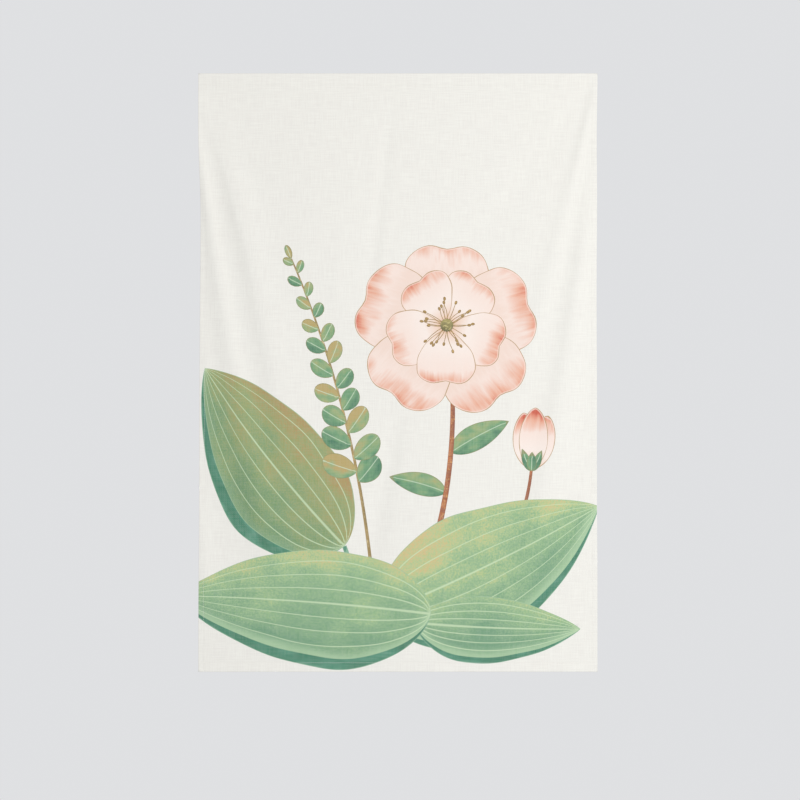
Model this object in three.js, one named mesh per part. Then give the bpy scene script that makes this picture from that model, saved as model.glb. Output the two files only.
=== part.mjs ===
// Doorway curtain panel: one flat cloth with turned hems, hanging from its top edge.
// Millimetres, +Z up. The origin is the middle of the top edge, and the printed front faces -Y.
// The cloth is held straight along its top, so soft drag folds run from both top corners
// down towards the middle, and they fade out before the bottom hem.

import * as THREE from "three";

// Cloth as cut and hemmed
const panelWidth = 800;
const panelDrop = 1200;
const clothThickness = 1.2;

// Hems are turned to the back, where they add one layer of cloth
const sideHem = 12;
const topHem = 25;
const bottomHem = 20;
const hemShoulder = 2;

// Spacing of the faceted surface: fine where the folds are narrow, and wider in the calm band between
const columnZones = [
  { from: 0, to: 100, step: 12.5 },
  { from: 100, to: 190, step: 22.5 },
  { from: 190, to: panelWidth / 2 - sideHem - hemShoulder, step: 9 },
];
const rowStep = 45;

// One row for each fold, seen from the front. x is from the middle and z is from the top edge.
// A positive height stands towards the front, and a negative one is a trough.
// bow moves the middle of the fold sideways, and a flank is how far the fold spreads to its left or right,
// first at its start and then at its end. fullFrom and fullTo are the stretch at full height, from 0 to 1.
const folds = [
  { startX: -398, startZ: -15, endX: -200, endZ: -900, bow: 20, height: 7.5,
    leftStart: 11, leftEnd: 34, rightStart: 22, rightEnd: 60, fullFrom: 0.30, fullTo: 0.55 },
  { startX: -418, startZ: -5, endX: -222, endZ: -1110, bow: -17, height: 8.3,
    leftStart: 6, leftEnd: 48, rightStart: 5, rightEnd: 36, fullFrom: 0.28, fullTo: 0.78 },
  { startX: -404, startZ: 0, endX: -388, endZ: -330, bow: 0, height: 4.0,
    leftStart: 14, leftEnd: 14, rightStart: 20, rightEnd: 34, fullFrom: 0.20, fullTo: 0.45 },
  { startX: -404, startZ: -430, endX: -340, endZ: -930, bow: -3, height: 2.0,
    leftStart: 12, leftEnd: 16, rightStart: 12, rightEnd: 16, fullFrom: 0.35, fullTo: 0.70 },
  { startX: -408, startZ: -780, endX: -380, endZ: -1120, bow: 0, height: 5.5,
    leftStart: 14, leftEnd: 20, rightStart: 18, rightEnd: 26, fullFrom: 0.40, fullTo: 0.62 },
  { startX: -130, startZ: -20, endX: -150, endZ: -620, bow: 0, height: 3.5,
    leftStart: 120, leftEnd: 120, rightStart: 90, rightEnd: 90, fullFrom: 0.35, fullTo: 0.60 },
  { startX: 398, startZ: -15, endX: 215, endZ: -720, bow: 6, height: 4.5,
    leftStart: 9, leftEnd: 34, rightStart: 10, rightEnd: 30, fullFrom: 0.26, fullTo: 0.65 },
  { startX: 396, startZ: -140, endX: 246, endZ: -1060, bow: 14, height: 7.0,
    leftStart: 12, leftEnd: 34, rightStart: 14, rightEnd: 56, fullFrom: 0.32, fullTo: 0.80 },
  { startX: 385, startZ: -10, endX: 90, endZ: -480, bow: 0, height: -2.4,
    leftStart: 20, leftEnd: 60, rightStart: 20, rightEnd: 50, fullFrom: 0.30, fullTo: 0.55 },
  { startX: -10, startZ: -20, endX: -72, endZ: -520, bow: 4, height: -2.4,
    leftStart: 12, leftEnd: 18, rightStart: 12, rightEnd: 18, fullFrom: 0.30, fullTo: 0.70 },
  { startX: 8, startZ: -640, endX: -80, endZ: -1090, bow: 0, height: -4.6,
    leftStart: 18, leftEnd: 28, rightStart: 18, rightEnd: 28, fullFrom: 0.30, fullTo: 0.70 },
];

function smooth(from, to, value) {
  const share = Math.min(1, Math.max(0, (value - from) / (to - from)));
  return share * share * (3 - 2 * share);
}

function mix(a, b, share) {
  return a + (b - a) * share;
}

// Height of one fold in front of the flat cloth, at a place on the panel
function foldHeight(fold, x, z) {
  const along = (fold.startZ - z) / (fold.startZ - fold.endZ);
  if (along <= 0 || along >= 1) return 0;
  const ridge = mix(fold.startX, fold.endX, along) + fold.bow * 4 * along * (1 - along);
  const aside = x - ridge;
  const flank = aside < 0
    ? mix(fold.leftStart, fold.leftEnd, along)
    : mix(fold.rightStart, fold.rightEnd, along);
  const strength = smooth(0, fold.fullFrom, along) * (1 - smooth(fold.fullTo, 1, along));
  return fold.height * strength * Math.exp(-((aside / flank) ** 2));
}

function clothHeight(x, z) {
  return folds.reduce((sum, fold) => sum + foldHeight(fold, x, z), 0);
}

// Extra thickness at the back: a full layer inside a hem, none past its shoulder
function hemLayer(x, z) {
  const toSide = panelWidth / 2 - Math.abs(x);
  const side = 1 - smooth(sideHem, sideHem + hemShoulder, toSide);
  const top = 1 - smooth(topHem, topHem + hemShoulder, -z);
  const bottom = 1 - smooth(bottomHem, bottomHem + hemShoulder, panelDrop + z);
  return clothThickness * Math.max(side, top, bottom);
}

// Evenly spaced places from one value to another, both included, at most a step apart
function stations(from, to, step) {
  const count = Math.ceil(Math.abs(to - from) / step);
  return Array.from({ length: count + 1 }, (_, i) => mix(from, to, i / count));
}

function panelColumns() {
  const zones = columnZones.flatMap((zone) => stations(zone.from, zone.to, zone.step).slice(1));
  const right = [0, ...zones, panelWidth / 2 - sideHem, panelWidth / 2];
  const left = right.slice(1).reverse().map((x) => -x);
  return [...left, ...right];
}

function panelRows() {
  const topLine = topHem + hemShoulder;
  const bottomLine = panelDrop - bottomHem - hemShoulder;
  const depths = [
    0,
    topHem,
    ...stations(topLine, bottomLine, rowStep),
    panelDrop - bottomHem,
    panelDrop,
  ];
  return depths.map((depth) => -depth);
}

// Places of one row's columns once the cloth has drawn in over its folds:
// neighbours stay as far apart, measured along the cloth, as they were cut
function drawnInRow(columns, z) {
  const heights = columns.map((x) => clothHeight(x, z));
  const places = columns.slice();
  const middle = columns.indexOf(0);
  const reach = (i, j) => {
    const cut = Math.abs(columns[i] - columns[j]);
    return Math.sqrt(cut ** 2 - (heights[i] - heights[j]) ** 2);
  };
  for (let i = middle + 1; i < columns.length; i += 1) places[i] = places[i - 1] + reach(i, i - 1);
  for (let i = middle - 1; i >= 0; i -= 1) places[i] = places[i + 1] - reach(i, i + 1);
  return columns.map((x, i) => ({ cutX: x, x: places[i], height: heights[i] }));
}

// One closed sheet: front and back grids of the same columns and rows, joined around the edge
function panelGeometry() {
  const columns = panelColumns();
  const rows = panelRows();
  const across = columns.length;
  const layerSize = across * rows.length;
  const front = [];
  const back = [];
  for (const z of rows) {
    for (const place of drawnInRow(columns, z)) {
      const frontY = -place.height - clothThickness / 2;
      front.push(place.x, frontY, z);
      back.push(place.x, frontY + clothThickness + hemLayer(place.cutX, z), z);
    }
  }

  const indices = [];
  const addQuad = (a, b, c, d) => indices.push(a, b, c, a, c, d);
  for (let row = 0; row < rows.length - 1; row += 1) {
    for (let column = 0; column < across - 1; column += 1) {
      const upperLeft = row * across + column;
      const lowerLeft = upperLeft + across;
      addQuad(upperLeft, lowerLeft, lowerLeft + 1, upperLeft + 1);
      const behind = layerSize + upperLeft;
      addQuad(behind, behind + 1, behind + across + 1, behind + across);
    }
  }

  // The rim runs once around the edge: down the left side, along the foot, up the right side and back
  const rim = [];
  for (let row = 0; row < rows.length - 1; row += 1) rim.push(row * across);
  for (let column = 0; column < across - 1; column += 1) rim.push((rows.length - 1) * across + column);
  for (let row = rows.length - 1; row > 0; row -= 1) rim.push(row * across + across - 1);
  for (let column = across - 1; column > 0; column -= 1) rim.push(column);
  rim.forEach((here, i) => {
    const next = rim[(i + 1) % rim.length];
    addQuad(here, here + layerSize, next + layerSize, next);
  });

  const geometry = new THREE.BufferGeometry();
  geometry.setAttribute("position", new THREE.Float32BufferAttribute([...front, ...back], 3));
  geometry.setIndex(indices);
  geometry.computeVertexNormals();
  return geometry;
}

const cloth = new THREE.MeshStandardMaterial({
  name: "printed_cloth",
  color: 0xf0efe9,
  roughness: 0.9,
  metalness: 0,
});

const curtainPanel = new THREE.Mesh(panelGeometry(), cloth);
curtainPanel.name = "curtain_panel";

const curtain = new THREE.Group();
curtain.name = "doorway_curtain";
curtain.add(curtainPanel);

export default curtain;
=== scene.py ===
import math

import bpy
import numpy as np
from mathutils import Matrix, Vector
from mathutils.geometry import delaunay_2d_cdt
from mathutils.kdtree import KDTree


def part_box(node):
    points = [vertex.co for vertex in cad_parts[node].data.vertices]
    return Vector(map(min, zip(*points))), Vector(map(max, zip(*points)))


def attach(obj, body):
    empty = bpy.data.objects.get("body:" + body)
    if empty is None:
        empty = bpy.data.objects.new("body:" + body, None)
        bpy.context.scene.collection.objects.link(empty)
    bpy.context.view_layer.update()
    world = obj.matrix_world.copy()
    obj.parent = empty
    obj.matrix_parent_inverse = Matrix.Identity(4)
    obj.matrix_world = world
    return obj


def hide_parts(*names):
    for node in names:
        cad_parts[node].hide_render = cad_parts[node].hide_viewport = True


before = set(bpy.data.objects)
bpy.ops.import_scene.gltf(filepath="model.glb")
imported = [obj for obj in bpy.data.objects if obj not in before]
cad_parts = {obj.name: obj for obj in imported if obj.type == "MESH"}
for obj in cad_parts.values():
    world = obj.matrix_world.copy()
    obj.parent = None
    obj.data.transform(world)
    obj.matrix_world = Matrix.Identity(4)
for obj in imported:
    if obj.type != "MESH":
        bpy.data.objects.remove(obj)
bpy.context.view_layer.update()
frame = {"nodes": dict(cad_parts)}  # one body, root, and one node, curtain_panel
print("frame loaded:", ", ".join(frame["nodes"]))

mm = 0.001  # sizes are in millimetres on the flat cloth, and meshes are in metres
lowCorner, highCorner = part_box("curtain_panel")

clothSizes = {
    "width": round((highCorner.x - lowCorner.x) / mm),
    "drop": round((highCorner.z - lowCorner.z) / mm),
    "thickness": 1.2,
    "hems": (12, 25, 20),  # at the sides, the top and the bottom
    "hemShoulder": 2,      # how softly the hem's inner edge steps down
    "stitchInset": 2,      # the stitch line, inside the hem's inner edge
    "stitchDent": 0.2,     # how deep the stitches draw the cloth in
    "dentWidth": 1.0,      # how far the dent spreads
    "dentRow": 1.5,        # from the stitch line to the dent's outer flank
    "edgeRound": 0.5,      # how far the folded edge bulges
    "edgeRow": 0.8,        # the strip that turns round to the folded edge
    "pointSpacing": 6.5,
}
halfWidth, drop = clothSizes["width"] / 2, clothSizes["drop"]

# One row for each fold: startX, startZ, endX, endZ, bow, height, leftStart, leftEnd, rightStart, rightEnd,
# fullFrom and fullTo. x is from the middle, seen from the front, and z is from the top edge. A positive
# height stands towards the front, and a negative one is a trough. bow moves the fold's middle sideways.
# Left and right are how far it spreads. It has its full height between the shares fullFrom and fullTo.
foldRows = [
    (-398, -15, -200, -900, 20, 7.5, 11, 34, 22, 60, 0.30, 0.55),   # left corner, broad
    (-418, -5, -222, -1110, -17, 8.3, 6, 48, 5, 36, 0.28, 0.78),    # left edge, long and narrow
    (-404, 0, -388, -330, 0, 4.0, 14, 14, 20, 34, 0.20, 0.45),      # left edge, just below the corner
    (-404, -430, -340, -930, -3, 2.0, 12, 16, 12, 16, 0.35, 0.70),  # left edge, low and slight
    (-408, -780, -380, -1120, 0, 5.5, 14, 20, 18, 26, 0.40, 0.62),  # left edge, near the foot
    (-130, -20, -150, -620, 0, 3.5, 120, 120, 90, 90, 0.35, 0.60),  # wide swell left of the middle
    (398, -15, 215, -720, 6, 4.5, 9, 34, 10, 30, 0.26, 0.65),       # right corner
    (396, -140, 246, -1060, 14, 7.0, 12, 34, 14, 56, 0.32, 0.80),   # right edge, long
    (385, -10, 90, -480, 0, -2.4, 20, 60, 20, 50, 0.30, 0.55),      # faint trough from the right corner
    (-10, -20, -72, -520, 4, -2.4, 12, 18, 12, 18, 0.30, 0.70),     # crease near the middle, above
    (8, -640, -80, -1090, 0, -4.6, 18, 28, 18, 28, 0.30, 0.70),     # crease near the middle, below
]
# Small creases that only this sheet has, written as the folds are
creaseRows = [
    (-84, -130, -90, -280, 0, 0.5, 7, 7, 10, 10, 0.3, 0.7),
    (-116, -310, -130, -500, 0, 0.8, 8, 9, 12, 14, 0.3, 0.7),
    (-24, -210, -36, -490, 0, 0.7, 8, 8, 10, 12, 0.3, 0.7),
    (-150, -60, -158, -200, 0, 0.5, 10, 10, 12, 12, 0.3, 0.7),
    (204, -110, 214, -260, 0, 0.5, 10, 10, 10, 10, 0.3, 0.7),
    (322, -50, 262, -240, 0, 0.9, 10, 14, 12, 16, 0.3, 0.7),
    (14, -740, 0, -860, 0, 0.6, 8, 8, 9, 9, 0.3, 0.7),
    (374, -800, 366, -960, 0, 0.8, 10, 12, 10, 12, 0.3, 0.7),
    (96, -60, 84, -330, 0, 0.4, 14, 16, 14, 18, 0.3, 0.7),
    (-366, -15, -246, -480, 0, 1.3, 14, 26, 14, 30, 0.2, 0.6),
    (400, 0, 342, -250, 2, 1.8, 7, 10, 8, 12, 0.2, 0.35),
    (386, -5, 330, -260, 0, -1.0, 8, 12, 8, 12, 0.2, 0.45),
]


def smooth(start, end, value):
    share = np.clip((value - start) / (end - start), 0, 1)
    return share * share * (3 - 2 * share)


def blendValue(a, b, share):
    return a + (b - a) * share


def clothHeight(x, z):  # how far the folds stand in front of the flat cloth
    total = np.zeros_like(x)
    for startX, startZ, endX, endZ, bow, height, *flanks, fullFrom, fullTo in foldRows + creaseRows:
        leftStart, leftEnd, rightStart, rightEnd = flanks
        along = np.clip((startZ - z) / (startZ - endZ), 0, 1)
        ridge = blendValue(startX, endX, along) + bow * 4 * along * (1 - along)
        left, right = blendValue(leftStart, leftEnd, along), blendValue(rightStart, rightEnd, along)
        flank = np.where(x < ridge, left, right)
        strength = smooth(0, fullFrom, along) * (1 - smooth(fullTo, 1, along))
        total += height * strength * np.exp(-(((x - ridge) / flank) ** 2))
    return total


def hemGaps(x, z):  # how far in from each hem's inner edge: the sides, the top and the bottom
    gaps = (halfWidth - abs(x), -z, drop + z)
    return [gap - hem for gap, hem in zip(gaps, clothSizes["hems"])]


def hemShare(x, z):  # 1 inside a hem, 0 on the single cloth
    shares = [1 - smooth(0, clothSizes["hemShoulder"], gap) for gap in hemGaps(x, z)]
    return np.maximum.reduce(shares)


def stitchDent(x, z):
    gaps = [abs(gap + clothSizes["stitchInset"]) for gap in hemGaps(x, z)]
    return clothSizes["stitchDent"] * np.exp(-((np.minimum.reduce(gaps) / clothSizes["dentWidth"]) ** 2))


def direction(angle):
    return math.cos(math.radians(angle)), math.sin(math.radians(angle))


def polar(centre, angle, reach):
    toRight, up = direction(angle)
    return centre[0] + reach * toRight, centre[1] + reach * up


# The print: a generic blossom, bud, sprig and broad leaves, drawn as shapes on the flat cloth.
# A blade is a petal or a leaf: it starts at its base and points along its angle.
bladeForm = {
    "bend": 0,       # how far its tip curves to its left, as a share of its length
    "tip": 0.5,      # 0.5 is round and 1 is pointed
    "fullest": 0.5,  # where along it the blade is widest
    "notch": 0,      # how deep the middle of its tip is cut in
    "notchWidth": 0.15,
    "ruffle": 0,     # how uneven its outline is
    "waves": 9,      # how closely the ruffles follow each other
    "lean": 0,       # how far its middle lies to its left
}


def bladeProfile(form, along):  # its half width as a share: 1 where it is fullest
    root = form["tip"] * form["fullest"] / (1 - form["fullest"])
    peak = form["fullest"] ** root * (1 - form["fullest"]) ** form["tip"]
    return along ** root * (1 - along) ** form["tip"] / peak


def bladeMiddle(form, along):
    return form["bend"] * form["length"] * along ** 2 + form["lean"] * bladeProfile(form, along)


def bladePoint(form, along, across):
    phase = form["waves"] * along + 2 * across + form["angle"]
    ruffle = 1 + form["ruffle"] * (np.sin(phase) + 0.5 * np.sin(2.3 * phase + 1))  # long and short waves
    aside = across * form["width"] / 2 * bladeProfile(form, along) * ruffle
    dip = form["notch"] * np.exp(-((aside / (form["notchWidth"] * form["width"])) ** 2)) * along ** 4
    p = along * form["length"] * (1 - dip)
    q = aside + bladeMiddle(form, along)
    toRight, up = direction(form["angle"])
    x = form["base"][0] + p * toRight - q * up
    z = form["base"][1] + p * up + q * toRight
    return np.stack([x, z], -1)


def bladeOutline(form, step, fewest=8):
    count = max(fewest, int(form["length"] / step))
    along = 0.5 - 0.5 * np.cos(np.linspace(0, math.pi, count))  # closer together at both ends
    left = bladePoint(form, along, np.ones(count))
    right = bladePoint(form, along[::-1], -np.ones(count))
    tip = bladePoint(form, np.ones(1), np.zeros(1))
    return np.concatenate([left[:-1], tip, right[1:-1]])


# Shares along and across a blade, mm from its base, and its half width there, which is at least 1 mm
def placeInBlade(form, points, leastHalf=1, offEnds=0.001):
    toRight, up = direction(form["angle"])
    dx, dz = (points - form["base"]).T
    p = dx * toRight + dz * up
    along = np.clip(p / form["length"], offEnds, 1 - offEnds)
    q = dz * toRight - dx * up - bladeMiddle(form, along)
    half = np.maximum(form["width"] / 2 * bladeProfile(form, along), leastHalf)
    upper = 1 if toRight >= 0 else -1  # so that the upper side of every blade is positive
    return along, np.clip(upper * q / half, -1, 1), p, half


def addBlade(look, base, angle, length, width, tone=0.5, step=4.0, **more):
    form = {**bladeForm, **more, "base": base, "angle": angle, "length": length, "width": width}
    return {"look": look, "tone": tone, "outline": bladeOutline(form, step),
            "place": lambda points: placeInBlade(form, points)}


def unit(vectors):
    return vectors / np.linalg.norm(vectors, axis=-1, keepdims=True)


def stemFrame(stem, count=101):  # points along a stem, their directions and its half widths
    share = np.linspace(0, 1, count)[:, None]
    start, pull, end = (np.array(stem[name], float) for name in ("start", "pull", "end"))
    line = start * (1 - share) ** 2 + 2 * pull * share * (1 - share) + end * share ** 2
    return line, unit(np.gradient(line, axis=0)), np.linspace(*stem["widths"], count) / 2


def lineSteps(line):
    return np.linalg.norm(np.diff(line, axis=0), axis=1)


def stemOutline(stem, step, fewest=4, roughly=20):
    length = lineSteps(stemFrame(stem, roughly)[0]).sum()
    line, run, half = stemFrame(stem, max(fewest, int(length / step)))
    aside = np.stack([-run[:, 1], run[:, 0]], -1) * half[:, None]
    return np.concatenate([line + aside, (line - aside)[::-1]])


def placeInStem(stem, points, count=80):  # the same four values as for a blade
    line, run, half = stemFrame(stem, count)
    apart = points[:, None, :] - line[None]
    nearest = (apart ** 2).sum(-1).argmin(1)
    gap = apart[np.arange(len(points)), nearest]
    q = gap[:, 1] * run[nearest, 0] - gap[:, 0] * run[nearest, 1]
    reach = np.concatenate([[0], np.cumsum(lineSteps(line))])
    p = reach[nearest] + (gap * run[nearest]).sum(-1)
    return p / reach[-1], np.clip(q / half[nearest], -1, 1), p, half[nearest]


def addStem(look, start, pull, end, widths, step=7.0):
    stem = {"start": start, "pull": pull, "end": end, "widths": widths}
    return {"look": look, "tone": 0.5, "outline": stemOutline(stem, step),
            "place": lambda points: placeInStem(stem, points)}


def wave(i, rate, shift=0):  # from -1 to 1, so that leaves differ without a random draw
    return math.sin(i * rate + shift)


leafSizes = {
    "form": {"tip": 0.88, "fullest": 0.40, "ruffle": 0.022, "waves": 9, "step": 8},
    "leaves": {  # look, base, angle, length, width, bend, tone, width of the underside that shows
        "left": ("warmLeaf", (-108, -948), 134, 452, 226, -0.10, 0.62, 24),
        "right": ("coolLeaf", (-34, -1082), 22, 486, 238, 0.07, 0.66, 20),
        "front": ("coolLeaf", (66, -1084), 173, 512, 216, 0.05, 0.44, 22),
        "small": ("coolLeaf", (36, -1102), -5, 330, 122, 0.05, 0.25, 12),
    },
    "leftStalk": {"start": (-40, -1080), "pull": (-84, -1020), "end": (-108, -948), "widths": (13, 9)},
}


def largeLeaf(name):  # its underside first, wider and moved down, so that it shows below
    look, base, angle, length, width, bend, tone, underside = leafSizes["leaves"][name]
    form = {**leafSizes["form"], "tone": tone, "bend": bend}
    below = underside / 2 if direction(angle)[0] < 0 else -underside / 2
    return [
        addBlade("leafUnderside", base, angle, length, width + underside, lean=below, **form),
        addBlade(look, base, angle, length, width, **form),
    ]


sprigSizes = {
    "stem": {"start": (-52, -1010), "pull": (-88, -660), "end": (-214, -372), "widths": (7, 3)},
    "pairs": 10,
    "leafSpan": (0.30, 0.97),   # shares of the stem that bear leaves
    "stagger": 0.018,           # how far apart the two leaves of a pair start
    "leafLength": (68, 26),     # at the foot and at the tip
    "leafWidth": (48, 16),
    "spread": (58, 40),         # degrees from the stem
    "uneven": (7, 0.08, 0.45),  # in spread, length and tone
    "leafBend": 0.06,
    "leafForm": {"tip": 0.55, "fullest": 0.56},
    "endLeaf": {"angle": 112, "length": 30, "width": 14, "tone": 0.8, "tip": 0.6, "fullest": 0.55},
}


def sprig():
    sizes = sprigSizes
    unevenSpread, unevenLength, unevenTone = sizes["uneven"]
    line, run, _ = stemFrame(sizes["stem"])
    shapes = [addStem("goldStem", **sizes["stem"])]
    for i in range(sizes["pairs"]):
        share = i / (sizes["pairs"] - 1)
        for side in (1, -1):
            place = blendValue(*sizes["leafSpan"], share) + sizes["stagger"] * side
            spot = min(100, int(100 * place))  # the stem has a point for each hundredth
            heading = math.degrees(math.atan2(run[spot, 1], run[spot, 0]))
            spread = blendValue(*sizes["spread"], share) + unevenSpread * wave(i, 2.3, side)
            length = blendValue(*sizes["leafLength"], share) * (1 + unevenLength * wave(i, 1.7, side))
            width = blendValue(*sizes["leafWidth"], share)
            tone = 0.5 + unevenTone * wave(i, 1.9, 2 * side)
            leaf = addBlade("sprigLeaf", tuple(line[spot]), heading + side * spread, length, width, tone,
                            bend=-sizes["leafBend"] * side, **sizes["leafForm"])
            shapes.append(leaf)
    return [*shapes, addBlade("sprigLeaf", tuple(line[-1]), **sizes["endLeaf"])]


blossomSizes = {
    "centre": (98, -505),
    "root": 8,          # how far from the centre petals and stamens start
    "rings": {          # look, fullest, tip and the petals' angle, length, width, bend and flush
        "outerPetal": (0.64, 0.42, [
            (88, 156, 168, 0.03, 0.05), (17, 172, 172, -0.04, 0.25), (160, 176, 174, 0.05, 0.10),
            (-55, 182, 176, 0.04, 0.40), (-127, 180, 172, -0.04, 0.20),
        ]),
        "innerPetal": (0.66, 0.38, [
            (52, 106, 112, 0.04, 0.10), (124, 104, 110, -0.04, 0.18), (-19, 114, 108, -0.05, 0.30),
            (196, 116, 112, 0.05, 0.16), (-92, 112, 120, 0.02, 0.24),
        ]),
    },
    "petalForm": {"notch": 0.07, "ruffle": 0.022, "waves": 8},
    "stamens": 26,
    "stamenReach": (32, 50),
    "stamenBow": 0.6,   # share of its reach where a stamen turns aside
    "stamenWidths": (1.5, 1.2),
    "uneven": (5, 14),  # degrees, in turn and lean
    "anther": {"length": 8, "width": 5.5, "tone": 0.9, "step": 1.2},
    "bossRadius": 13,
}


def stamen(i):  # a fine thread that ends in an anther
    sizes = blossomSizes
    centre = sizes["centre"]
    unevenTurn, unevenLean = sizes["uneven"]
    angle = 360 * i / sizes["stamens"] + unevenTurn * wave(i, 2.1)
    lean = angle + unevenLean * wave(i, 1.3)
    reach = blendValue(*sizes["stamenReach"], 0.5 + 0.5 * wave(i, 2.6))
    start, end = polar(centre, angle, sizes["root"]), polar(centre, lean, reach)
    pull = polar(centre, angle, sizes["stamenBow"] * reach)
    thread = addStem("stamen", start, pull, end, sizes["stamenWidths"], step=9)
    return [thread, addBlade("stamen", end, lean, **sizes["anther"])]


def blossom():
    sizes = blossomSizes
    centre, radius, shapes = sizes["centre"], sizes["bossRadius"], []
    for look, (fullest, tip, petals) in sizes["rings"].items():
        for angle, length, width, bend, flush in petals:
            base = polar(centre, angle, sizes["root"])
            shapes.append(addBlade(look, base, angle, length, width, flush, bend=bend, tip=tip,
                                   fullest=fullest, **sizes["petalForm"]))
    for i in range(sizes["stamens"]):
        shapes += stamen(i)
    return [*shapes, addBlade("boss", (centre[0] - radius, centre[1]), 0, 2 * radius, 2 * radius, step=2)]


budSizes = {
    "stem": {"start": (190, -1010), "pull": (258, -900), "end": (268, -792), "widths": (9, 6)},
    "petals": [(104, 112, 54, -0.10, 1.0), (66, 110, 54, 0.10, 0.85), (86, 122, 58, 0.0, 0.95)],
    "petalForm": {"tip": 0.62, "fullest": 0.48},
    "sepals": [(120, 48, 18, -0.12), (56, 46, 18, 0.12), (88, 38, 20, 0.0)],
    "sepalForm": {"tip": 0.9, "fullest": 0.4, "tone": 0.1, "step": 3},
    "sepalDrop": 5,  # how far below the petals the sepals start
}


def bud():
    sizes = budSizes
    x, z = sizes["stem"]["end"]
    shapes = [addStem("brownStem", **sizes["stem"])]
    for angle, length, width, bend, flush in sizes["petals"]:
        form = {**sizes["petalForm"], "bend": bend}
        shapes.append(addBlade("innerPetal", (x, z), angle, length, width, flush, **form))
    for angle, length, width, bend in sizes["sepals"]:
        form = {**sizes["sepalForm"], "bend": bend}
        shapes.append(addBlade("sprigLeaf", (x, z - sizes["sepalDrop"]), angle, length, width, **form))
    return shapes


stalkSizes = {
    "stem": {"start": (20, -1090), "pull": (140, -830), "end": (100, -520), "widths": (13, 8)},
    "leaves": [(0.60, 34, 132, 52, -0.10), (0.46, 158, 118, 46, 0.12)],  # each starts with its place
    "leafForm": {"tip": 0.95, "fullest": 0.42, "tone": 0.3},
}


def stalk():
    sizes = stalkSizes
    line = stemFrame(sizes["stem"])[0]
    shapes = []
    for share, angle, length, width, bend in sizes["leaves"]:
        base = tuple(line[int(100 * share)])
        shapes.append(addBlade("sprigLeaf", base, angle, length, width, bend=bend, **sizes["leafForm"]))
    return [*shapes, addStem("brownStem", **sizes["stem"])]


printShapes = [  # painted from the back to the front
    addStem("leafUnderside", **leafSizes["leftStalk"]), *largeLeaf("left"), *sprig(), *stalk(), *bud(),
    *largeLeaf("right"), *blossom(), *largeLeaf("small"), *largeLeaf("front"),
]
print("print drawn:", len(printShapes), "shapes")


# The cloth: a flat mesh with edges along the print and the hems, hung on the folds front and back
def clipToCloth(outline):  # keeps the part of an outline that lies on the cloth
    for axis, sign, limit in ((0, 1, halfWidth), (0, -1, halfWidth), (1, 1, 0), (1, -1, drop)):
        kept = []
        for a, b in zip(outline, np.roll(outline, -1, axis=0)):
            roomA, roomB = limit - sign * a[axis], limit - sign * b[axis]
            if roomA >= 0:
                kept.append(a)
            if roomA * roomB < 0:
                kept.append(a + (b - a) * roomA / (roomA - roomB))
        outline = np.array(kept)
    return outline


def insideOutline(outline, points):
    inside = np.zeros(len(points), bool)
    near = np.where(((points >= outline.min(0)) & (points <= outline.max(0))).all(1))[0]
    x, z = points[near].T
    crossings = np.zeros(len(near), int)
    for (ax, az), (bx, bz) in zip(outline, np.roll(outline, -1, axis=0)):
        if bz != az:
            crossings += ((az > z) != (bz > z)) & (x < ax + (z - az) / (bz - az) * (bx - ax))
    inside[near] = crossings % 2 == 1
    return inside


def distanceToOutline(outline, points):
    best = np.full(len(points), np.inf)
    for a, b in zip(outline, np.roll(outline, -1, axis=0)):
        run = b - a
        share = np.clip(((points - a) @ run) / max(run @ run, 1e-9), 0, 1)  # no division by a zero length
        best = np.minimum(best, ((points - a - share[:, None] * run) ** 2).sum(1))
    return np.sqrt(best)


def hemInsets(step):  # of the lines that lie this far in from the hems' inner edges
    return [hem + step for hem in clothSizes["hems"]]


def lineEnds(side, top, bottom):  # the left, right, upper and lower line that lie in by these insets
    return [
        ((side - halfWidth, 0), (side - halfWidth, -drop)),
        ((halfWidth - side, 0), (halfWidth - side, -drop)),
        ((-halfWidth, -top), (halfWidth, -top)),
        ((-halfWidth, bottom - drop), (halfWidth, bottom - drop)),
    ]


def spacedLine(a, b):
    return np.linspace(a, b, max(2, int(math.dist(a, b) / clothSizes["pointSpacing"]) + 1))


def drawnLines():  # points and edges along the cloth's edge, the hems and every shape of the print
    corners = [(-halfWidth, 0), (-halfWidth, -drop), (halfWidth, -drop), (halfWidth, 0)]
    border = [spacedLine(a, b)[:-1] for a, b in zip(corners, corners[1:] + corners[:1])]
    stitched = -clothSizes["stitchInset"]
    steps = (clothSizes["hemShoulder"], 0, stitched, stitched - clothSizes["dentRow"])
    insets = [[clothSizes["edgeRow"]] * 3] + [hemInsets(step) for step in steps]
    hemmed = [spacedLine(a, b)[1:-1] for inset in insets for a, b in lineEnds(*inset)]
    printed = [clipToCloth(shape["outline"]) for shape in printShapes]
    points, edges = [], []
    for lines, closed in (([np.concatenate(border)], True), (hemmed, False), (printed, True)):
        for line in lines:
            first, last = len(points), len(points) + len(line) - 1
            points.extend(line)
            edges.extend((i, i + 1) for i in range(first, last))
            if closed:
                edges.append((last, first))
    return points, edges


def fillPoints(points, clearance=0.6):  # staggered rows of loose points, clear of the drawn lines
    spacing = clothSizes["pointSpacing"]
    tree = KDTree(len(points))
    for i, point in enumerate(points):
        tree.insert((*point, 0), i)
    tree.balance()
    columns, rows = int(2 * halfWidth / spacing), int(drop / spacing)
    loose = []
    for row in range(1, rows):
        for column in range(1, columns):
            x = -halfWidth + (column + 0.5 * (row % 2)) * 2 * halfWidth / columns
            z = -drop * row / rows
            if x < halfWidth - 1 and tree.find((x, z, 0))[2] > clearance * spacing:
                loose.append((x, z))
    return loose


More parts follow.
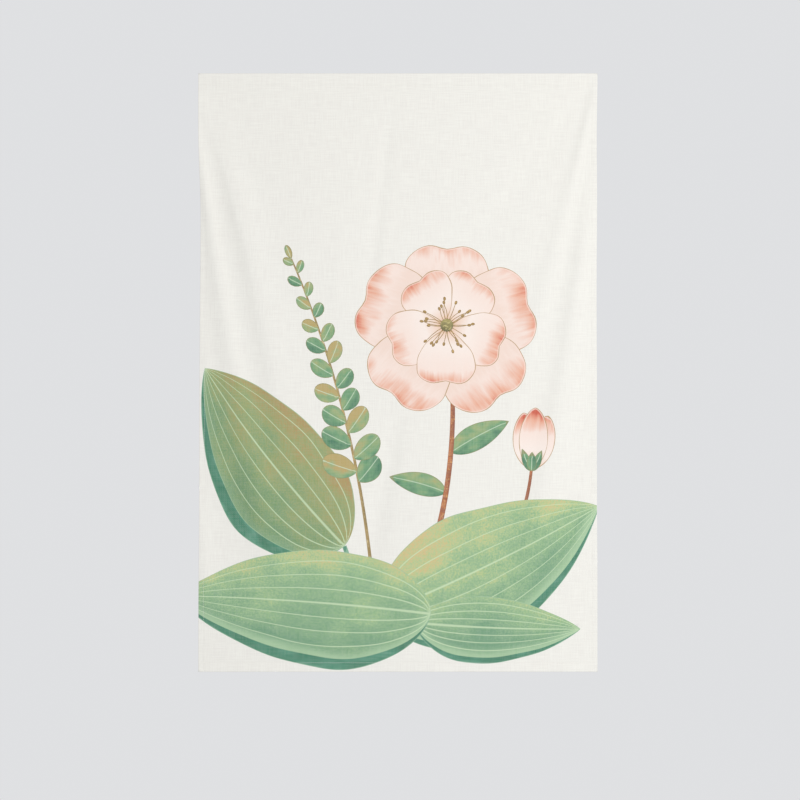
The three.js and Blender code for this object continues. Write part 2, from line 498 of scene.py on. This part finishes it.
def flatMesh():  # points and triangles of the flat cloth
    points, edges = drawnLines()
    points += fillPoints(points)
    flat = [Vector((float(x), float(z))) for x, z in points]
    verts, _, faces = delaunay_2d_cdt(flat, edges, [], 0, 1e-3, False)[:3]  # joins points under 1e-3 apart
    flat, faces = np.array(verts), np.array(faces)
    a, b, c = (flat[faces[:, i]] for i in range(3))
    area = (b[:, 0] - a[:, 0]) * (c[:, 1] - a[:, 1]) - (b[:, 1] - a[:, 1]) * (c[:, 0] - a[:, 0])
    kept = abs(area) > 1e-4  # no slivers
    return flat, np.where(area[:, None] > 0, faces, faces[:, ::-1])[kept]


# x once the cloth has drawn in over its folds, measured from the middle on a grid
def drawnIn(flat, columns=400, rows=120):
    gridX = np.linspace(-halfWidth, halfWidth, columns + 1)
    gridX, gridZ = np.meshgrid(gridX, np.linspace(0, -drop, rows + 1))
    reach = np.sqrt(np.diff(gridX, axis=1) ** 2 - np.diff(clothHeight(gridX, gridZ), axis=1) ** 2)
    placed = np.pad(np.cumsum(reach, axis=1), ((0, 0), (1, 0)))
    placed -= placed[:, columns // 2, None]
    column = np.clip((flat[:, 0] + halfWidth) / (2 * halfWidth) * columns, 0, columns - 0.001)
    row = np.clip(-flat[:, 1] / drop * rows, 0, rows - 0.001)
    c, r = column.astype(int), row.astype(int)
    upper = blendValue(placed[r, c], placed[r, c + 1], column - c)
    lower = blendValue(placed[r + 1, c], placed[r + 1, c + 1], column - c)
    return blendValue(upper, lower, row - r)


def clothFaces(flat):  # where points of the flat cloth lie on the hung cloth, front and back
    x, z = flat.T
    front = -clothHeight(x, z) - clothSizes["thickness"] / 2
    back = front + clothSizes["thickness"] * (1 + hemShare(x, z))
    dent, placed = stitchDent(x, z), drawnIn(flat)
    return np.stack([placed, front + dent, z], -1), np.stack([placed, back - dent, z], -1)


def closeRim(flat, faces, front, back):  # points and faces of the rounded edge that joins front to back
    sides = np.concatenate([faces[:, [0, 1]], faces[:, [1, 2]], faces[:, [2, 0]]])
    _, first, uses = np.unique(np.sort(sides, axis=1), axis=0, return_index=True, return_counts=True)
    openSides = sides[first[uses == 1]]
    rim, place = np.unique(openSides, return_inverse=True)
    x, z = flat[rim].T
    near = 0.01  # mm; a point this close to an edge lies on it
    outX = np.where(abs(x) > halfWidth - near, np.sign(x), 0)
    outZ = np.where(z > -near, 1, np.where(z < near - drop, -1, 0))
    outward = np.stack([outX, np.zeros(len(rim)), outZ], -1) * clothSizes["edgeRound"]
    bulge = (front[rim] + back[rim]) / 2 + outward
    count = len(flat)
    p, q = openSides.T
    midP, midQ = place.reshape(openSides.shape).T + 2 * count
    frontHalf = np.stack([q, p, midP, midQ], -1)
    backHalf = np.stack([midQ, midP, p + count, q + count], -1)
    return rim, bulge, np.concatenate([frontHalf, backHalf])


def placeInPrint(flat, faces):  # each triangle's finish, and each corner's place in the print
    centres = flat[faces].mean(1)
    owner = np.full(len(faces), -1)
    for i, shape in enumerate(printShapes):
        owner[insideOutline(shape["outline"], centres)] = i
    place, detail = np.zeros((2, len(faces), 3, 3))
    look = np.zeros(len(faces), int)
    for i, shape in enumerate(printShapes):
        mine = np.where(owner == i)[0]
        if len(mine):
            corners = flat[faces[mine]].reshape(-1, 2)
            along, across, p, half = shape["place"](corners)
            gap = distanceToOutline(shape["outline"], corners)
            place[mine] = np.stack([along, across, gap], -1).reshape(-1, 3, 3)
            detail[mine] = np.stack([p, half, np.full(len(p), shape["tone"])], -1).reshape(-1, 3, 3)
            look[mine] = list(materials).index(shape["look"])
    return look, place, detail


def storePrint(mesh, flat, faces, rimCount):  # what the materials read: the print, front, back and rim
    look, place, detail = placeInPrint(flat, faces)
    finish = np.concatenate([look, look, np.zeros(rimCount)]).astype(np.int32)
    mesh.polygons.foreach_set("material_index", finish)
    for name, values in (("printPlace", place), ("printDetail", detail)):
        layers = (values.reshape(-1, 3), values[:, ::-1].reshape(-1, 3), np.zeros((4 * rimCount, 3)))
        stored = mesh.attributes.new(name, "FLOAT_VECTOR", "CORNER")
        stored.data.foreach_set("vector", np.concatenate(layers).ravel())
    hemmed = hemShare(*flat[faces].mean(1).T) == 1  # a turned hem shows the printed side at the back
    shown = np.concatenate([np.ones(len(faces)), hemmed, np.ones(rimCount)])
    mesh.attributes.new("printedSide", "FLOAT", "FACE").data.foreach_set("value", shown)


def storeClothPlace(mesh, places):  # each corner's place on the flat cloth, in metres, for the weave
    corners = np.zeros(len(mesh.loops), np.int32)
    mesh.loops.foreach_get("vertex_index", corners)
    mesh.uv_layers.new(name="clothPlace").uv.foreach_set("vector", (places[corners] * mm).ravel())


def addPiece(name, points, faces, finishes):
    mesh = bpy.data.meshes.new(name)
    mesh.from_pydata((points * mm).tolist(), [], faces)
    mesh.polygons.foreach_set("use_smooth", np.ones(len(faces), bool))
    for material in finishes:
        mesh.materials.append(material)
    piece = bpy.data.objects.new(name, mesh)
    bpy.context.collection.objects.link(piece)
    return piece


def makePanel():
    flat, faces = flatMesh()
    front, back = clothFaces(flat)
    rim, bulge, rimFaces = closeRim(flat, faces, front, back)
    polygons = faces.tolist() + (faces[:, ::-1] + len(flat)).tolist() + rimFaces.tolist()
    panel = addPiece("curtain_cloth", np.concatenate([front, back, bulge]), polygons, materials.values())
    storePrint(panel.data, flat, faces, len(rimFaces))
    storeClothPlace(panel.data, np.concatenate([flat, flat, flat[rim]]))
    panel.data.validate()
    print("panel made:", len(panel.data.polygons), "faces")
    return panel


threadLook = {"Base Color": "#EDEBE4", "Roughness": 0.62, "Sheen Weight": 0.1}
stitchSizes = {
    "length": 3.0,
    "gap": 0.8,
    "thread": 0.45,
    "sunk": 0.1,   # how far the thread's middle lies below the cloth beside the stitch line
    "beside": 3,   # how far aside the slope of the cloth is measured
    "skew": 0.06,  # how far a stitch turns out of line, as a share of its length
}


def stitchModel():  # one stitch along X: a slim bead whose ends dip into the cloth
    bpy.ops.object.select_all(action="DESELECT")
    bpy.ops.mesh.primitive_uv_sphere_add(segments=6, ring_count=4, radius=stitchSizes["thread"] / 2)
    bpy.ops.object.mode_set(mode="EDIT")
    bpy.ops.transform.rotate(value=math.pi / 2, orient_axis="Y", center_override=(0, 0, 0))
    stretch = stitchSizes["length"] / stitchSizes["thread"]
    bpy.ops.transform.resize(value=(stretch, 1, 1), center_override=(0, 0, 0))
    bpy.ops.object.mode_set(mode="OBJECT")
    model = bpy.context.object
    corners = np.array([vertex.co for vertex in model.data.vertices])
    faces = [list(polygon.vertices) for polygon in model.data.polygons]
    bpy.data.objects.remove(model)
    order = np.lexsort(corners.round(3).T)  # edit mode leaves no fixed order, so the stitch is sorted
    faces = [np.argsort(order)[face].tolist() for face in faces]
    turned = [face[face.index(min(face)):] + face[:face.index(min(face))] for face in faces]
    return corners[order], sorted(turned)


def stitchLines():  # centres and directions of the stitches on the flat cloth
    pitch = stitchSizes["length"] + stitchSizes["gap"]
    for a, b in lineEnds(*hemInsets(-clothSizes["stitchInset"])):
        a, b = np.array(a, float), np.array(b, float)
        length = np.linalg.norm(b - a)
        run = (b - a) / length
        count = int(length / pitch)
        for i in range(count):
            yield a + run * (length * (i + 0.5) / count), run


def placeStitches(model, centres, runs, layer, side):  # the model's corners at each stitch on one face
    aside = np.stack([-runs[:, 1], runs[:, 0]], -1) * stitchSizes["beside"]
    ahead = runs * stitchSizes["length"] / 2
    start, end = np.split(clothFaces(np.concatenate([centres - ahead, centres + ahead]))[layer], 2)
    left, right = np.split(clothFaces(np.concatenate([centres - aside, centres + aside]))[layer], 2)
    tangent = unit(end - start)
    outward = unit(np.cross(tangent, right - left))
    outward *= np.sign(outward[:, 1:2]) * side
    across = np.cross(outward, tangent)
    middle = (start + end) / 2 + outward * (clothSizes["stitchDent"] - stitchSizes["sunk"])
    skew = stitchSizes["skew"] * np.sin(np.arange(len(middle)) * 2.4)[:, None]
    axes = np.stack([tangent + across * skew, across - tangent * skew, outward], 1)
    return middle[:, None, :] + np.einsum("vk,skc->svc", model, axes)


def makeStitching():
    model, modelFaces = stitchModel()
    centres, runs = (np.array(values) for values in zip(*stitchLines()))
    placed = [placeStitches(model, centres, runs, layer, side) for layer, side in ((0, -1), (1, 1))]
    corners = np.concatenate(placed)
    firsts = range(0, len(corners) * len(model), len(model))
    faces = [[first + point for point in face] for first in firsts for face in modelFaces]
    print("hems stitched:", len(corners), "stitches")
    thread = newMaterial("spunPolyesterThread", threadLook)  # off-white thread with a soft low gloss
    return addPiece("hem_stitching", corners.reshape(-1, 3), faces, [thread])


# Materials
softStep = {"interpolation_type": "SMOOTHSTEP"}
colourMix = {"data_type": "RGBA", "output": 2}  # its sockets 0, 6 and 7 are the share and the two colours


def linear(hexColour):
    values = [int(hexColour[i:i + 2], 16) / 255 for i in (1, 3, 5)]
    return [v / 12.92 if v <= 0.04045 else ((v + 0.055) / 1.055) ** 2.4 for v in values] + [1.0]


def setInputs(node, inputs):  # by name or in order: a socket is linked, a hex colour or a value is set
    for name, value in inputs.items() if isinstance(inputs, dict) else enumerate(inputs):
        if isinstance(value, bpy.types.NodeSocket):
            node.id_data.links.new(value, node.inputs[name])
        else:
            node.inputs[name].default_value = linear(value) if isinstance(value, str) else value


def setStops(ramp, stops):  # a new ramp has its first and last stop already
    for place, _ in stops[1:-1]:
        ramp.elements.new(place)
    for element, (place, colour) in zip(ramp.elements, stops):
        element.position, element.color = place, linear(colour)


def addNode(tree, kind, inputs=(), output=0, stops=(), **settings):  # returns the chosen output
    node = tree.nodes.new("ShaderNode" + kind)
    for name, value in settings.items():
        setattr(node, name, value)
    setInputs(node, inputs)
    if stops:
        setStops(node.color_ramp, stops)
    return node.outputs[output]


def newMaterial(name, look):  # with plain values on its shader
    material = bpy.data.materials.new(name)
    material.use_nodes = True
    setInputs(material.node_tree.nodes["Principled BSDF"], look)
    return material


weaveSizes = {  # mm; real threads are about 0.4 mm apart, drawn coarser so that the grain shows
    "thread": 2.0,
    "slubLength": 38,    # of the thick stretches in a thread
    "slubWidth": 1.7,
    "slubHeight": 0.8,   # a slub stands this share of a thread higher
    "relief": 0.12,
    "reliefShare": 0.4,  # how strongly the grain shades
    "rumple": 55,        # width of the soft unevenness
    "rumpleRelief": 0.6,
}


def makeWeave():
    group = bpy.data.node_groups.new("plainWeave", "ShaderNodeTree")
    place = addNode(group, "UVMap", uv_map="clothPlace")
    pitch = math.pi / (weaveSizes["thread"] * mm)
    threads = addNode(group, "Mapping", {0: place, "Scale": (pitch, pitch, 1)})
    parts = addNode(group, "SeparateXYZ", (threads,)).node.outputs
    sines = [addNode(group, "Math", (part,), operation="SINE") for part in parts[:2]]  # warp and weft
    crossing = addNode(group, "Math", sines, operation="MULTIPLY")
    thread = addNode(group, "Math", (crossing, 0.5, 0.5), operation="MULTIPLY_ADD")
    slubs = []
    long, thin = 1 / (weaveSizes["slubLength"] * mm), 1 / (weaveSizes["slubWidth"] * mm)
    for scale in ((long, thin, 1), (thin, long, 1)):  # weft slubs, then warp slubs
        stretched = addNode(group, "Mapping", {0: place, "Scale": scale})
        yarn = {"Vector": stretched, "Scale": 1.0, "Detail": 2.0}
        slubs.append(addNode(group, "TexNoise", yarn, noise_dimensions="2D"))
    both = addNode(group, "Math", slubs, operation="ADD")
    slub = addNode(group, "MapRange", (both, 0.7, 1.3, 0.0, 1.0))
    height = addNode(group, "Math", (slub, weaveSizes["slubHeight"], thread), operation="MULTIPLY_ADD")
    grain = addNode(group, "Bump", {"Height": height, "Strength": weaveSizes["reliefShare"],
                                    "Distance": weaveSizes["relief"] * mm})
    hanging = {"Vector": place, "Scale": 1 / (weaveSizes["rumple"] * mm), "Detail": 1.5}
    soft = addNode(group, "TexNoise", hanging, noise_dimensions="2D")
    normal = addNode(group, "Bump", {"Height": soft, "Normal": grain, "Strength": 1.0,
                                     "Distance": weaveSizes["rumpleRelief"] * mm})
    end = group.nodes.new("NodeGroupOutput")
    results = (("Thread", "Float", thread), ("Slub", "Float", slub), ("Normal", "Vector", normal))
    for name, kind, source in results:
        group.interface.new_socket(name, in_out="OUTPUT", socket_type="NodeSocket" + kind)
        group.links.new(source, end.inputs[name])
    return group


clothLook = {
    "slimYarn": "#F2F0E8",        # bleached cotton and linen
    "slubYarn": "#EBE8E1",        # the same yarn where it is thick and dry
    "printAtBack": 0.30,          # how much of the print shows through at the back
    "printBetweenThreads": 0.94,  # the print takes less there
    "printOnSlubs": 0.90,         # and less on the thick yarn
    "roughness": (0.80, 0.92),    # of slim and of thick yarn
    "gloss": {"Specular IOR Level": 0.25, "Sheen Weight": 0.12, "Sheen Roughness": 0.5},
}


def clothMaterial(name, paint=None):
    look = clothLook
    material = newMaterial(name, look["gloss"])
    tree = material.node_tree
    yarn = addNode(tree, "Group", node_tree=weave).node.outputs
    colour = addNode(tree, "Mix", {0: yarn["Slub"], 6: look["slimYarn"], 7: look["slubYarn"]}, **colourMix)
    if paint:
        printedSide = addNode(tree, "Attribute", output="Fac", attribute_name="printedSide")
        cover = addNode(tree, "MapRange", (printedSide, 0.0, 1.0, look["printAtBack"], 1.0))
        onThread = addNode(tree, "MapRange", (yarn["Thread"], 0.0, 1.0, look["printBetweenThreads"], 1.0))
        onSlub = addNode(tree, "MapRange", (yarn["Slub"], 0.0, 1.0, 1.0, look["printOnSlubs"]))
        for part in (onThread, onSlub):
            cover = addNode(tree, "Math", (cover, part), operation="MULTIPLY")
        dye = paint(tree, readPrint(tree))
        colour = addNode(tree, "Mix", {0: cover, 6: colour, 7: dye}, **colourMix)
    rough = addNode(tree, "MapRange", (yarn["Slub"], 0.0, 1.0, *look["roughness"]))
    cloth = {"Base Color": colour, "Roughness": rough, "Normal": yarn["Normal"]}
    setInputs(tree.nodes["Principled BSDF"], cloth)
    return material


# A painter is given the spot in a printed shape. along and across are shares, and across is 1 at the upper
# edge. edge, p, q and half are mm: from the outline, along the shape, aside and half its width.
def readPrint(tree):
    values = []
    for name in ("printPlace", "printDetail"):
        stored = addNode(tree, "Attribute", output="Vector", attribute_name=name)
        values += addNode(tree, "SeparateXYZ", (stored,)).node.outputs[:3]
    spot = dict(zip(("along", "across", "edge", "p", "half", "tone"), values))
    spot["q"] = addNode(tree, "Math", (spot["across"], spot["half"]), operation="MULTIPLY")
    return spot


def brushNoise(tree, spot, length, width, detail=3.0):  # drawn out along a shape, mostly 0.3 to 0.7
    place = addNode(tree, "CombineXYZ", (
        addNode(tree, "Math", (spot["p"], length), operation="DIVIDE"),
        addNode(tree, "Math", (spot["q"], width), operation="DIVIDE"),
        addNode(tree, "Math", (spot["tone"], 37.0), operation="MULTIPLY"),  # so that no two are alike
    ))
    return addNode(tree, "TexNoise", {"Vector": place, "Scale": 1.0, "Detail": detail, "Roughness": 0.55})


def brushShift(tree, spot, length, width, low, high, detail=3.0):  # the same noise, spread from low to high
    noise = brushNoise(tree, spot, length, width, detail)
    return addNode(tree, "MapRange", (noise, 0.3, 0.7, low, high))


# A brushed pattern is a length, a width and the least and most that it moves the colour along its stops.
# A fade is two places and the strength at each. An outline is a colour, a width and a strength.
softEdge = (0.7, 1.3)               # shares of its width at which a brushed line starts and ends to fade
outlineUneven = (30, 30, 0.5, 1.3)  # a brushed pattern that thins and thickens an outline


def drawOutline(tree, spot, colour, line, width, strength):  # a brushed line of uneven width
    length, across, thin, thick = outlineUneven
    reach = brushShift(tree, spot, length, across, thin * width, thick * width, 1.0)
    past = addNode(tree, "Math", (spot["edge"], reach), operation="DIVIDE")
    share = addNode(tree, "MapRange", (past, *softEdge, strength, 0.0), **softStep)
    return addNode(tree, "Mix", {0: share, 6: colour, 7: line}, **colourMix)


petalLook = {
    "stops": [(0.00, "#E2B494"), (0.10, "#F0D3C0"), (0.30, "#F9EBE2"), (0.66, "#F7E2D7"),
              (0.85, "#EBAF95"), (0.96, "#DA765B"), (1.00, "#CC583E")],
    "streak": (60, 7, -0.08, 0.08),
    "cloud": (50, 42, -0.13, 0.13),
    "flush": (-0.14, 0.12),    # from the palest petal to the most flushed
    "shade": "#EED0C0",        # on the outer petals, where the inner ones lie over them
    "shadeEnd": (0.52, 0.78),  # shares of the petal where it fades out
    "turned": "#F9DDD2",       # the lighter rim at the tip
    "turnedWidth": 3.2,
    "turnedShare": 0.75,
    "turnedStart": (0.55, 0.72),
    "outline": ("#B08A50", 1.5, 0.85),
}


def petalPainter(shadeShare):
    look = petalLook

    def paint(tree, spot):
        along = spot["along"]
        streak = brushShift(tree, spot, *look["streak"])
        cloud = brushShift(tree, spot, *look["cloud"], detail=1.0)
        flush = addNode(tree, "MapRange", (spot["tone"], 0.0, 1.0, *look["flush"]))
        uneven = streak
        for part in (cloud, flush):
            uneven = addNode(tree, "Math", (uneven, part), operation="ADD")
        tipward = addNode(tree, "Math", (along, along), operation="MULTIPLY")
        reach = addNode(tree, "Math", (tipward, uneven, along), operation="MULTIPLY_ADD")
        colour = addNode(tree, "ValToRGB", (reach,), stops=look["stops"])
        if shadeShare:
            ragged = addNode(tree, "Math", (along, streak), operation="ADD")
            near = addNode(tree, "MapRange", (ragged, *look["shadeEnd"], shadeShare, 0.0), **softStep)
            colour = addNode(tree, "Mix", {0: near, 6: colour, 7: look["shade"]}, **colourMix)
        fade = [share * look["turnedWidth"] for share in softEdge]
        close = addNode(tree, "MapRange", (spot["edge"], *fade, look["turnedShare"], 0.0), **softStep)
        far = addNode(tree, "MapRange", (along, *look["turnedStart"], 0.0, 1.0), **softStep)
        rim = addNode(tree, "Math", (close, far), operation="MULTIPLY")
        colour = addNode(tree, "Mix", {0: rim, 6: colour, 7: look["turned"]}, **colourMix)
        return drawOutline(tree, spot, colour, *look["outline"])
    return paint


leafLook = {
    "cool": [(0.00, "#6B9A76"), (0.25, "#82AA80"), (0.45, "#97BA89"), (0.64, "#B6C68A"), (0.84, "#D0BC82")],
    "warm": [(0.00, "#5F8B63"), (0.28, "#7E9C6A"), (0.52, "#98A268"), (0.74, "#AA965C"), (1.00, "#AE8450")],
    "blotch": (90, 60, -0.14, 0.22),
    "speck": (3, 3, -0.15, 0.15),
    "upward": (0.05, 0.60),        # from the lower edge to the warmer upper one
    "tone": (0.5, -0.25),          # times the leaf's own tone, and plus
    "lowerRim": "#B4D3A8",         # the washed lower edge
    "lowerRimWidth": 24,
    "lowerRimRagged": 30,          # how far the blotches move its border
    "lowerRimEnd": (-0.35, 0.05),  # across the leaf, where it fades out
    "vein": "#CCE2B8",
    "veinShare": 0.26,             # of the half width, from one vein to the next
    "veinWidth": (1.5, 0.6),       # at the foot and at the tip
    "ribWidth": (3.2, 1.0),
    "veinFade": (0.4, 1.15, 0.72, 0.0),
    "sway": (120, 60, 0.05),       # length and width of the veins' waves, and how far they move
    "ribShade": 0.05,              # each stretch between veins shades to one side
    "outline": ("#9DBF97", 1.4, 0.75),
}


def veinTurns(tree, spot):  # how many veins lie between a spot and the middle rib
    length, width, most = leafLook["sway"]
    away = addNode(tree, "Math", (spot["across"],), operation="ABSOLUTE")
    waves = brushNoise(tree, spot, length, width, 0.0)
    sway = addNode(tree, "MapRange", (waves, 0.0, 1.0, -most, most))
    swayed = addNode(tree, "Math", (away, sway, spot["across"]), operation="MULTIPLY_ADD")
    return addNode(tree, "Math", (swayed, leafLook["veinShare"]), operation="DIVIDE")


def washLowerRim(tree, spot, colour, blotch, rimShare):
    look = leafLook
    ragged = addNode(tree, "Math", (blotch, look["lowerRimRagged"], spot["edge"]), operation="MULTIPLY_ADD")
    close = addNode(tree, "MapRange", (ragged, 0.0, look["lowerRimWidth"], rimShare, 0.0), **softStep)
    lower = addNode(tree, "MapRange", (spot["across"], *look["lowerRimEnd"], 1.0, 0.0), **softStep)
    rim = addNode(tree, "Math", (close, lower), operation="MULTIPLY")
    return addNode(tree, "Mix", {0: rim, 6: colour, 7: look["lowerRim"]}, **colourMix)


def drawVeins(tree, spot, colour, turns):  # side veins at even turns, and a wider rib in the middle
    look = leafLook
    ribs = addNode(tree, "Math", (turns, 0.5), operation="PINGPONG")
    pitch = addNode(tree, "Math", (spot["half"], look["veinShare"]), operation="MULTIPLY")
    fromVein = addNode(tree, "Math", (ribs, pitch), operation="MULTIPLY")
    fromRib = addNode(tree, "Math", (spot["q"],), operation="ABSOLUTE")
    past = []
    for gap, widths in ((fromVein, look["veinWidth"]), (fromRib, look["ribWidth"])):
        width = addNode(tree, "MapRange", (spot["along"], 0.0, 1.0, *widths))
        past.append(addNode(tree, "Math", (gap, width), operation="DIVIDE"))
    nearest = addNode(tree, "Math", past, operation="MINIMUM")
    veins = addNode(tree, "MapRange", (nearest, *look["veinFade"]), **softStep)
    return addNode(tree, "Mix", {0: veins, 6: colour, 7: look["vein"]}, **colourMix)


def leafPainter(name, rimShare):
    look = leafLook

    def paint(tree, spot):
        blotch = brushShift(tree, spot, *look["blotch"])
        speck = brushShift(tree, spot, *look["speck"], detail=2.0)
        value = addNode(tree, "MapRange", (spot["across"], -1.0, 1.0, *look["upward"]))
        warmth = addNode(tree, "Math", (spot["tone"], *look["tone"]), operation="MULTIPLY_ADD")
        turns = veinTurns(tree, spot)
        ribShade = addNode(tree, "Math", (turns,), operation="FRACT")
        ribShade = addNode(tree, "MapRange", (ribShade, 0.0, 1.0, -look["ribShade"], look["ribShade"]))
        for part in (warmth, blotch, speck, ribShade):
            value = addNode(tree, "Math", (value, part), operation="ADD")
        colour = addNode(tree, "ValToRGB", (value,), stops=look[name])
        colour = washLowerRim(tree, spot, colour, blotch, rimShare)
        colour = drawVeins(tree, spot, colour, turns)
        return drawOutline(tree, spot, colour, *look["outline"])
    return paint


undersideLook = {
    "stops": [(0.28, "#2E7455"), (0.52, "#3F8468"), (0.75, "#5C9A80")],
    "brush": (60, 22),
    "outline": ("#8FB99A", 1.4, 0.7),
}


def paintUnderside(tree, spot):
    streak = brushNoise(tree, spot, *undersideLook["brush"])
    colour = addNode(tree, "ValToRGB", (streak,), stops=undersideLook["stops"])
    return drawOutline(tree, spot, colour, *undersideLook["outline"])


sprigLook = {
    "stops": [(0.35, "#3F7A5A"), (0.62, "#6E9E72"), (0.85, "#98AC76"), (1.0, "#B8A366")],
    "brush": (30, 18),
    "toneShare": 0.5,  # how far a leaf's own tone warms it
    "upward": 0.16,    # how much warmer its upper side is
    "rib": "#CFE2C4",
    "ribFade": (0.5, 1.2, 0.7, 0.0),
    "outline": ("#8C8A58", 1.2, 0.75),
}


def paintSprigLeaf(tree, spot):
    look = sprigLook
    brush = brushNoise(tree, spot, *look["brush"])
    warm = addNode(tree, "Math", (spot["tone"], look["toneShare"], brush), operation="MULTIPLY_ADD")
    side = addNode(tree, "Math", (spot["across"], look["upward"], warm), operation="MULTIPLY_ADD")
    colour = addNode(tree, "ValToRGB", (side,), stops=look["stops"])
    fromRib = addNode(tree, "Math", (spot["q"],), operation="ABSOLUTE")
    rib = addNode(tree, "MapRange", (fromRib, *look["ribFade"]), **softStep)
    colour = addNode(tree, "Mix", {0: rib, 6: colour, 7: look["rib"]}, **colourMix)
    return drawOutline(tree, spot, colour, *look["outline"])


stemLook = {  # a dark colour, a light one and its flecks
    "brown": ("#8F4B2E", "#BE7647", "#D9A35F"),
    "gold": ("#8B7440", "#C9A869", "#EBDDB0"),
    "stamen": ("#8A6A33", "#C29646", "#E2C27A"),
    "boss": ("#5F5A33", "#A39655", "#CDBE7C"),
    "streak": (40, 8),
    "upward": 0.22,         # how much lighter its upper side is
    "ramp": (0.3, 0.7),
    "fleck": (5, 2.4),
    "fleckFade": (0.58, 0.66, 0.0, 0.8),
    "outline": (0.9, 0.6),  # in the dark colour
}


def stemPainter(name):
    look = stemLook
    dark, light, fleck = look[name]
    stops = list(zip(look["ramp"], (dark, light)))

    def paint(tree, spot):
        streak = brushNoise(tree, spot, *look["streak"])
        lit = addNode(tree, "Math", (spot["across"], look["upward"], streak), operation="MULTIPLY_ADD")
        colour = addNode(tree, "ValToRGB", (lit,), stops=stops)
        grains = brushNoise(tree, spot, *look["fleck"], 1.0)
        specks = addNode(tree, "MapRange", (grains, *look["fleckFade"]), **softStep)
        colour = addNode(tree, "Mix", {0: specks, 6: colour, 7: fleck}, **colourMix)
        return drawOutline(tree, spot, colour, dark, *look["outline"])
    return paint


weave = makeWeave()
finishes = {  # the material's name and its painter
    "bareCloth": ("bleachedCottonLinen",),                  # matt off-white yarn with faint slubs
    "outerPetal": ("petalDye", petalPainter(0.55)),         # blush to coral, shaded at the foot
    "innerPetal": ("innerPetalDye", petalPainter(0)),       # paler blush, coral at the tips
    "coolLeaf": ("coolLeafDye", leafPainter("cool", 0.7)),  # speckled sage to straw, pale veins
    "warmLeaf": ("warmLeafDye", leafPainter("warm", 0.2)),  # speckled olive to brown, pale veins
    "leafUnderside": ("leafShadeDye", paintUnderside),      # deep teal band below a leaf
    "sprigLeaf": ("sprigDye", paintSprigLeaf),              # small leaves from teal to gold
    "brownStem": ("brownStemDye", stemPainter("brown")),    # rust with gold flecks
    "goldStem": ("goldStemDye", stemPainter("gold")),       # dull gold
    "stamen": ("stamenDye", stemPainter("stamen")),         # fine gold lines
    "boss": ("bossDye", stemPainter("boss")),               # olive seed head
}
materials = {look: clothMaterial(*finish) for look, finish in finishes.items()}
print("materials made")

panel = makePanel()
stitching = makeStitching()
for piece in (panel, stitching):
    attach(piece, "root")
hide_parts("curtain_panel")


# Stage, light and camera
studio = {
    "floor": (2.0, 2.3),  # depth and radius
    "floorPaint": {"Base Color": "#D9DBDD", "Roughness": 0.9},
    "backdrop": ("#E9EAEC", 0.91),
    "lampsAimAt": (0, 0, -0.6),
    "lamps": {  # place, width and power
        "keyLight": ((1.65, -2.9, -0.55), 1.4, 38),
        "backLight": ((-2.2, 3.0, -0.35), 1.4, 20),
    },
}


def makeFloor():
    depth, radius = studio["floor"]
    bpy.ops.mesh.primitive_circle_add(vertices=96, radius=radius, fill_type="NGON", location=(0, 0, -depth))
    floor = bpy.context.object
    floor.name = "studio_floor"
    bpy.ops.object.transform_apply(location=True)
    floor.data.materials.append(newMaterial("mattFloorPaint", studio["floorPaint"]))  # pale grey, no gloss


def makeLight():
    world = bpy.data.worlds.new("paleStudio")
    world.use_nodes = True
    setInputs(world.node_tree.nodes["Background"], studio["backdrop"])
    bpy.context.scene.world = world
    for name, (place, width, power) in studio["lamps"].items():
        bpy.ops.object.light_add(type="AREA", location=place)
        lamp = bpy.context.object
        lamp.name = name
        lamp.data.size, lamp.data.energy = width, power
        ray = Vector(studio["lampsAimAt"]) - lamp.location
        lamp.rotation_euler = ray.to_track_quat("-Z", "Y").to_euler()
    bpy.context.scene.view_settings.view_transform = "Standard"


cameraSizes = {"lens": 85, "sensor": 36, "frameWidth": 1.605, "x": 0.0042, "z": -0.655}


def makeCamera():
    sizes = cameraSizes
    away = sizes["frameWidth"] * sizes["lens"] / sizes["sensor"]
    bpy.ops.object.camera_add(location=(sizes["x"], -away, sizes["z"]), rotation=(math.pi / 2, 0, 0))
    camera = bpy.context.object
    camera.name = "frontCamera"
    camera.data.lens, camera.data.sensor_width = sizes["lens"], sizes["sensor"]
    bpy.context.scene.camera = camera


makeFloor()
makeLight()
makeCamera()
print("studio and camera made")
